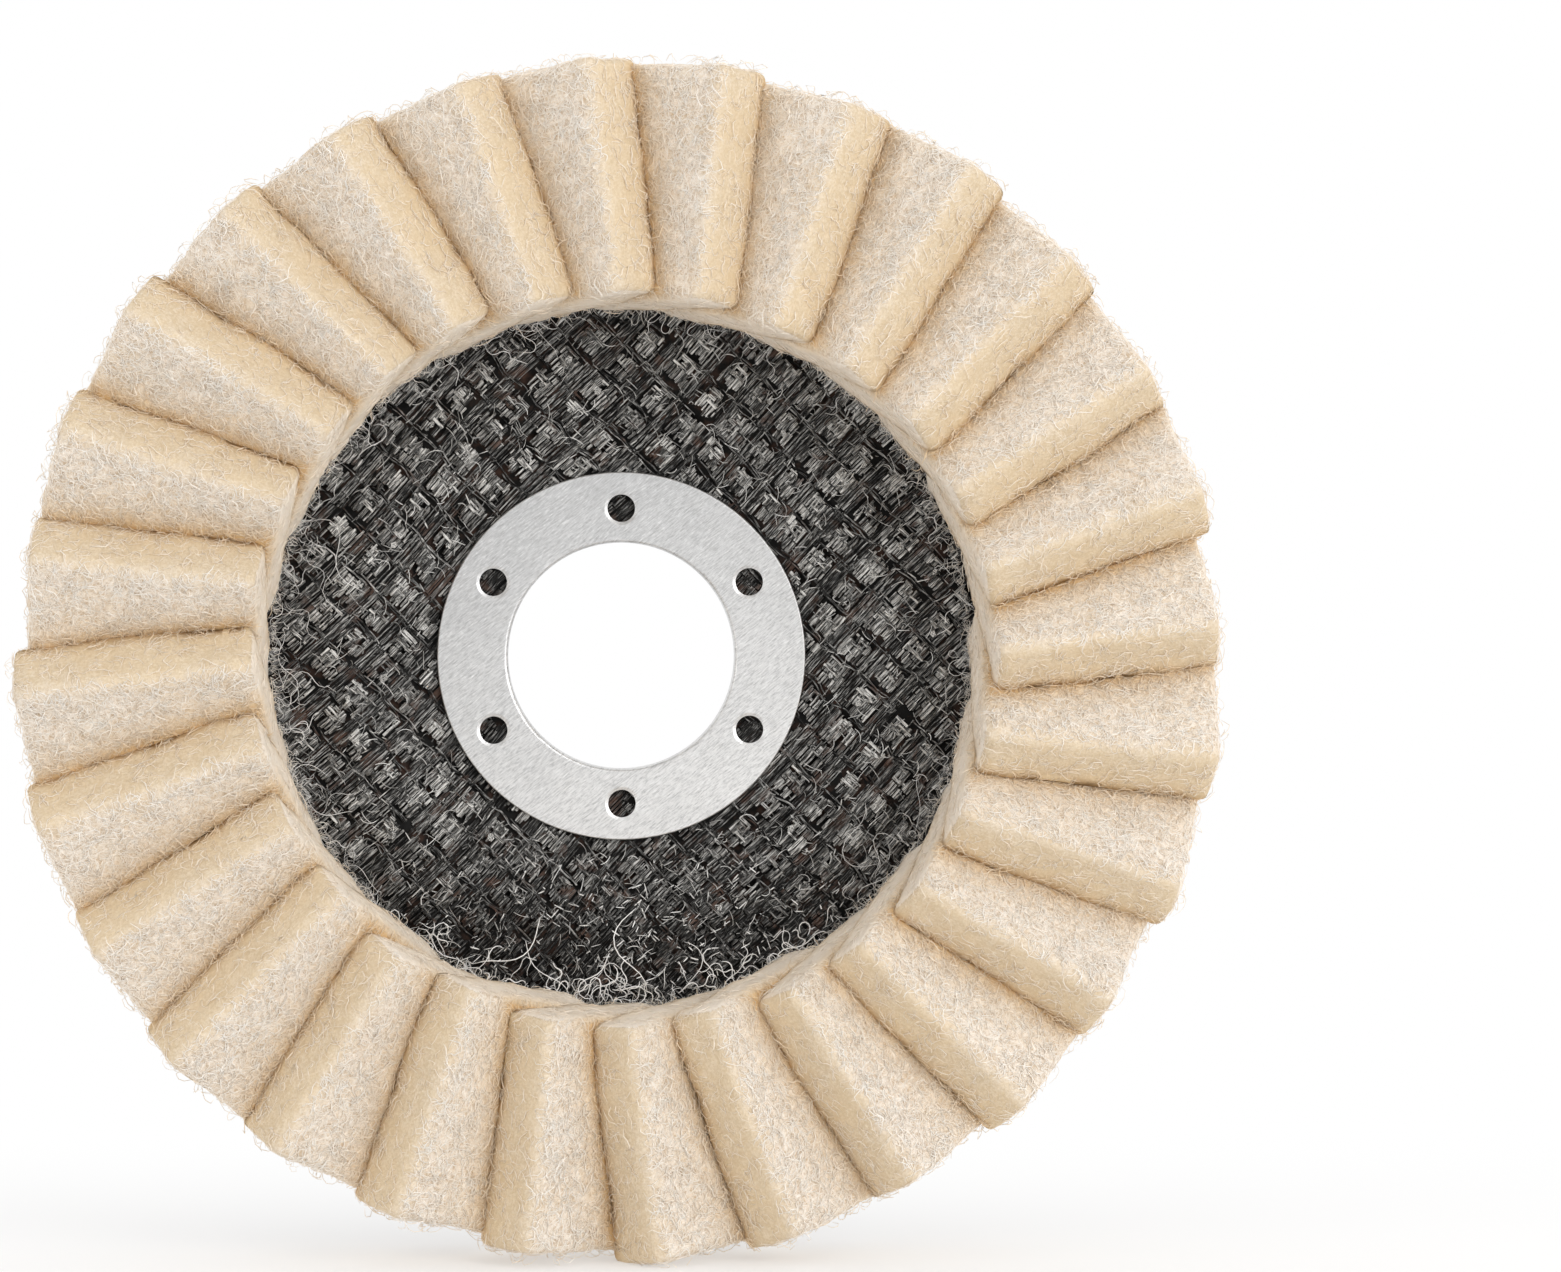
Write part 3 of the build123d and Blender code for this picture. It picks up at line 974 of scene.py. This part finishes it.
def split_ends(bundle, centres, rng):
    """Fine broken filaments that curl up from the knots."""
    place = np.repeat(centres, 6, axis=0) + rng.normal(0, 0.95, (6 * len(centres), 2))
    count, steps = len(place), 6
    heading = np.where(rng.uniform(size=count) < 0.6, 0.0, math.pi / 2) + rng.normal(0, 0.35, count)
    along = np.linspace(0, 1, steps)
    bend = heading[:, None] + rng.normal(0, 1.1, (count, 1)) * along
    step = rng.uniform(0.5, 1.9, (count, 1)) / (steps - 1)
    up = place[:, :1] + np.cumsum(np.cos(bend) * step, axis=1)
    down = place[:, 1:] + np.cumsum(np.sin(bend) * step, axis=1)
    height = KNOT_HEIGHT + rng.uniform(0, 0.3, (count, 1)) * np.sin(math.pi * along)
    paths = front_place(up, down, height)
    kept = from_axis(paths).min(axis=1) > FLANGE_RADIUS + 0.3
    radii = rng.uniform(0.018, 0.04, (count, 1)) * np.ones(steps)
    # Tones above 1 are painted glints.
    bundle.add(paths[kept], radii[kept], 3, 1.0, None, rng.uniform(0.6, 1.8, count)[kept])


def front_weave(material):
    """The front cloth's fibres."""
    rng = np.random.default_rng(3)
    blocks, centres, half = knots(rng)
    blocks.piece("front_cloth_knots", material, "front_weave")
    rest = Bundle()
    flakes(rest, centres, half, rng)
    windows(rest, centres, rng)
    tapes(rest, rng)
    rest.piece("front_cloth_threads", material, "front_weave")
    chips = Bundle()
    splinters(chips, rng)
    split_ends(chips, centres, rng)
    chips.piece("front_cloth_splinters", material, "front_weave")


def runs(inside):
    """Slices of the stretches that are inside, of three places or more."""
    padded = np.concatenate([[False], inside, [False]])
    turns = np.flatnonzero(np.diff(padded.astype(int)))
    return [slice(start, end) for start, end in zip(turns[::2], turns[1::2]) if end - start >= 3]


def rear_weave(material):
    """The rear cloth: flat yarns of a plain weave, laid diagonally."""
    rng = np.random.default_rng(4)
    width, thickness = REAR_YARN
    outer = PLATE_RADIUS - 0.15
    count = math.ceil(outer / REAR_PITCH)
    places = np.arange(-outer, outer, REAR_PITCH / 4)
    bundle = Bundle()
    for family in (0, 1):
        for yarn in range(-count, count + 1):
            wander = rng.normal(0, 0.03 * REAR_PITCH) + 0.04 * REAR_PITCH * np.sin(
                places / REAR_PITCH * rng.uniform(0.5, 1.1) + rng.uniform(0, TAU))
            lateral = yarn * REAR_PITCH + wander
            wave = np.cos(math.pi * (places / REAR_PITCH + yarn + family))
            wave = np.tanh(1.2 * wave) / math.tanh(1.2)
            x, z = diagonal(places, lateral) if family == 0 else diagonal(lateral, places)
            radius = np.hypot(x, z)
            relief = np.clip((radius - LIP_EDGE) / 0.6, 0.12, 1.0)
            y = np.interp(radius, *REAR_PROFILE) + REAR_CRIMP * relief * (wave + 0.35)
            path = np.stack([x, y, z], axis=1)
            for run in runs((radius > REAR_REACH) & (radius < outer)):
                radii = np.full((1, run.stop - run.start), width / 2)
                across = ply_across(family == 0)
                bundle.add(path[run][None], radii, 6, thickness / width, across, rng.uniform(size=1))
    bundle.piece("rear_cloth_weave", material, "rear_weave", smooth=True)


def ply_section(name, trim=0.0):
    """Closed section of a pressed ply, front face first; trim thins its front face."""
    steps = 40
    dish = np.linspace(COLLAR_HOLE, DISH_RADIUS, steps)
    radii = np.concatenate([dish, np.linspace(DISH_RADIUS, PLATE_RADIUS, steps)[1:]])
    front = np.interp(radii, *ply_profile(name, -1)) + trim
    back = np.interp(radii, *ply_profile(name, 1))
    return [*zip(radii, front), *zip(radii[::-1], back[::-1])]


def rough_rim(seed, depth):
    """Makes the rim of a turned ply uneven."""
    def apply(radius, y, around):
        place = on_wheel(30, 4 * y, around).reshape(-1, 3)
        relief = waves(place, 2.4, seed) + 0.7 * waves(place, 0.9, seed + 1)
        edge = np.clip((radius - PLATE_RADIUS + 1.2) / 1.2, 0, 1)
        return radius - depth * edge * (0.8 + relief.reshape(radius.shape)).clip(-0.3, 2), y
    return apply


def backing_plate():
    """The four plies, and the yarns of the two cloths on them."""
    resin = resin_material()
    core = fibre_core_material()
    section = ply_section("front_cloth", trim=CLOTH_SKIN)
    sheet = turned("front_cloth_resin", section, SEGMENTS, resin, "front_weave", rough_rim(11, 0.12))
    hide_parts("front_cloth")
    for number, name in enumerate(("core_ply_front", "core_ply_rear")):
        section = ply_section(name)
        rim = rough_rim(21 + 5 * number, 0.3)
        ply = turned(f"{name}_fibre", section, CORE_SEGMENTS, core, "fibre_core", rim)
        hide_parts(name)
    rear = rear_weave_material()
    section = [(radius, y - CLOTH_SKIN) for radius, y in ply_section("rear_cloth")]
    sheet = turned("rear_cloth_resin", section, SEGMENTS, resin, "rear_weave", rough_rim(41, 0.12))
    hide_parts("rear_cloth")

    front_weave(front_weave_material())
    rear_weave(rear)


def rim_fibres(material):
    """Short coarse fibres that stick out of the plate's cut rim."""
    rng = np.random.default_rng(9)
    count, steps = 900, 5
    low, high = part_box("core_ply_front")[0].y / MM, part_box("rear_cloth")[1].y / MM
    angle = rng.uniform(0, TAU, count)
    depth = PLATE_FRONT + rng.uniform(0.2, 2.2, count)
    along = np.linspace(0, 1, steps)
    turn = rng.normal(0, 0.02, (count, 1)) * along
    radius = PLATE_RADIUS - 0.45 + rng.uniform(0.2, 1.1, (count, 1)) * along
    y = np.clip(depth[:, None] + rng.normal(0, 0.25, (count, 1)) * along, low, high)
    paths = on_wheel(radius, y, angle[:, None] + turn)
    radii = rng.uniform(0.03, 0.07, (count, 1)) * np.array([1, 1, 0.9, 0.8, 0.5])
    add_piece("rim_fibres", *tubes(paths, radii, 4), material, "fibre_core")


def adhesive():
    """An uneven bead with slightly lower edges."""
    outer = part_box("adhesive_ring")[1].x / MM
    steps = 12
    radii = np.linspace(ADHESIVE_INNER, outer, steps)
    front = np.full(steps, ADHESIVE_FRONT)
    front[[0, -1]] += 0.25
    section = [*zip(radii, front), *zip(radii[::-1], np.full(steps, PLATE_FRONT))]

    def uneven(radius, y, around):
        relief = waves(on_wheel(radius, 0 * y, around).reshape(-1, 3), 3.0, 51).reshape(radius.shape)
        edge = np.abs((radius - ADHESIVE_INNER) / (outer - ADHESIVE_INNER) * 2 - 1) > 0.9
        raised = y < PLATE_FRONT - 0.1
        return radius + edge * 0.3 * relief, y - raised * 0.06 * relief

    ring = turned("adhesive_bed", section, SEGMENTS, adhesive_material(), "adhesive", uneven)
    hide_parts("adhesive_ring")


def steel_ring():
    """The CAD's own ring, with a brushed finish."""
    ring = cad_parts["hub_ring"]
    ring.data.materials.clear()
    ring.data.materials.append(steel_material())


# ---- studio


def studio():
    """Pale floor, white surround, soft lamps and the camera; the floor glows, as painted light that lightens
    the wheel's shadow on it and lights the wheel from below.
    """
    floor_z = CAD_BOX[0].z
    mesh = bpy.data.meshes.new("floor")
    reach = 12.0
    signs = ((-1, -1), (1, -1), (1, 1), (-1, 1))
    corners = [(reach * x, reach * y, floor_z) for x, y in signs]
    mesh.from_pydata(corners, [], [(0, 1, 2, 3)])
    nodes = Nodes("floor")
    place = nodes.add("ShaderNodeSeparateXYZ", {0: nodes.object_mm()}).outputs["Y"]
    # Painted light: the floor glows from under the wheel to white behind it, lightening the wheel's shadow.
    glow = nodes.add("ShaderNodeMapRange", {"Value": place, "From Min": -90.0, "From Max": 90.0},
                     interpolation_type="SMOOTHSTEP").outputs["Result"]
    # Painted light: a glowing band in front of the wheel lights it from below.
    bounce = nodes.times(nodes.ramp(place, -70.0, -160.0), 0.85)
    glow = nodes.plus(glow, bounce)
    fade = nodes.mix(glow, (0.93, 0.925, 0.92), (0.0, 0.0, 0.0))
    emission = {"Emission Strength": glow, "Emission Color": (1.0, 1.0, 1.0)}
    mesh.materials.append(nodes.surface(fade, 1.0, 0.0, **emission))
    floor = show("floor", mesh)

    nodes = Nodes("studio", world=True)
    direction = nodes.add("ShaderNodeTexCoord").outputs["Generated"]
    toward = nodes.add("ShaderNodeVectorMath", {0: direction, 1: (0.0, -1.0, 0.0)}, operation="DOT_PRODUCT")
    toward = toward.outputs["Value"]
    dimmed = {"Value": toward, "From Min": 0.78, "From Max": 0.97, "To Min": 1.0, "To Max": 0.45}
    strength = nodes.add("ShaderNodeMapRange", dimmed, interpolation_type="SMOOTHSTEP").outputs["Result"]
    nodes.feed(nodes.shader.inputs["Strength"], strength)
    nodes.feed(nodes.shader.inputs["Color"], (1.0, 1.0, 1.0))
    bpy.context.scene.world = nodes.owner

    lamp("key", (0.55, -0.75, 0.22), 0.45, 3.35)
    lamp("side", (-0.75, -0.5, -0.12), 0.4, 2.4)

    camera = show("camera", bpy.data.cameras.new("camera"))
    camera.data.lens = 106.3
    camera.data.clip_start = 0.01
    camera.location = (-0.0057, -0.453, 0.0068)
    camera.rotation_euler = (math.radians(90 - 0.62), math.radians(0.1), math.radians(-2.7))
    bpy.context.scene.camera = camera
    bpy.context.scene.view_settings.view_transform = "Standard"


def lamp(name, place, size, power):
    """A square soft lamp that looks at the wheel."""
    light = bpy.data.lights.new(name, "AREA")
    light.size = size
    light.energy = power
    holder = show(name, light)
    holder.location = place
    holder.rotation_euler = (-holder.location).to_track_quat("-Z", "Y").to_euler()


def main():
    studio()
    steel_ring()
    backing_plate()
    rim_fibres(fibre_core_material())
    adhesive()
    felt, wool = felt_material(), fuzz_material()
    for number in range(FLAP_COUNT):
        felt_flap(number, felt, wool)
    inner_bristles(wool)
    stray_fibres(stray_material())


main()
